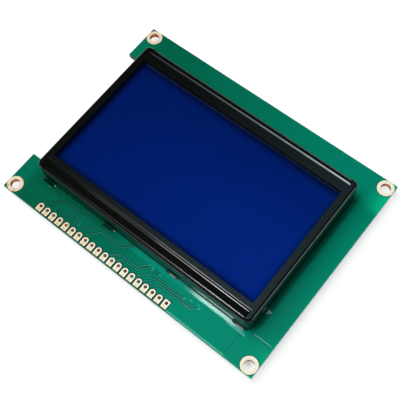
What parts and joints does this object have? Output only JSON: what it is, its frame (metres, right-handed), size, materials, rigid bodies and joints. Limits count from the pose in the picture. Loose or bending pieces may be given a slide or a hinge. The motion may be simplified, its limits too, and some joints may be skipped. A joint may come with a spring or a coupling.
{
  "type": "graphic lcd module",
  "caption": "Flat display module: a blue liquid crystal panel in a folded black steel bezel on a green circuit board, with plated corner holes and a row of header holes.",
  "frame": {"origin": "middle of the board in plan, on the surface that the module lies on", "axes": "+Z out of the display window, +X along the long side of the board, header row along the -Y edge, notch in the -X edge"},
  "size_m": [0.093, 0.07, 0.012],
  "materials": {
    "solder_mask": "green solder mask over copper, satin gloss",
    "gold_plating": "flash-plated copper lands",
    "bezel_paint": "black stoved paint on folded steel, semi-gloss",
    "blue_film": "deep blue polarizing film, glossy",
    "display_glass": "clear float glass",
    "cell_glue": "cured epoxy seal",
    "crystal_layer": "liquid crystal",
    "grey_film": "neutral polarizing film",
    "zebra_rubber": "layered silicone rubber",
    "white_film": "white diffusing film",
    "guide_acrylic": "clear acrylic",
    "frame_plastic": "white moulded plastic",
    "lamp_laminate": "white-masked laminate",
    "lamp_body": "phosphor-filled lamp body",
    "solder": "tin solder and tinned leads",
    "black_epoxy": "black potting epoxy",
    "moulding_compound": "black moulding compound",
    "resistor_ceramic": "glazed chip resistor",
    "capacitor_ceramic": "tan chip capacitor",
    "tantalum_yellow": "yellow moulded capacitor"
  },
  "bodies": {
    "root": {"pcb": "solder_mask", "mounting_lands": "gold_plating", "header_lands": "gold_plating", "bezel": "bezel_paint", "front_polarizer": "blue_film", "front_glass": "display_glass", "cell_seal": "cell_glue", "liquid_crystal": "crystal_layer", "rear_glass": "display_glass", "rear_polarizer": "grey_film", "near_zebra_strip": "zebra_rubber", "far_zebra_strip": "zebra_rubber", "diffuser_sheet": "white_film", "light_guide": "guide_acrylic", "reflector_sheet": "white_film", "backlight_frame": "frame_plastic", "led_board": "lamp_laminate", "leds": "lamp_body", "led_leads": "solder", "lead_solder": "solder", "row_driver_glob": "black_epoxy", "left_column_glob": "black_epoxy", "right_column_glob": "black_epoxy", "bias_amplifier": "moulding_compound", "amplifier_leads": "solder", "voltage_converter": "moulding_compound", "converter_leads": "solder", "chip_resistors": "resistor_ceramic", "chip_capacitors": "capacitor_ceramic", "charge_capacitors": "tantalum_yellow"}
  },
  "joints": []
}
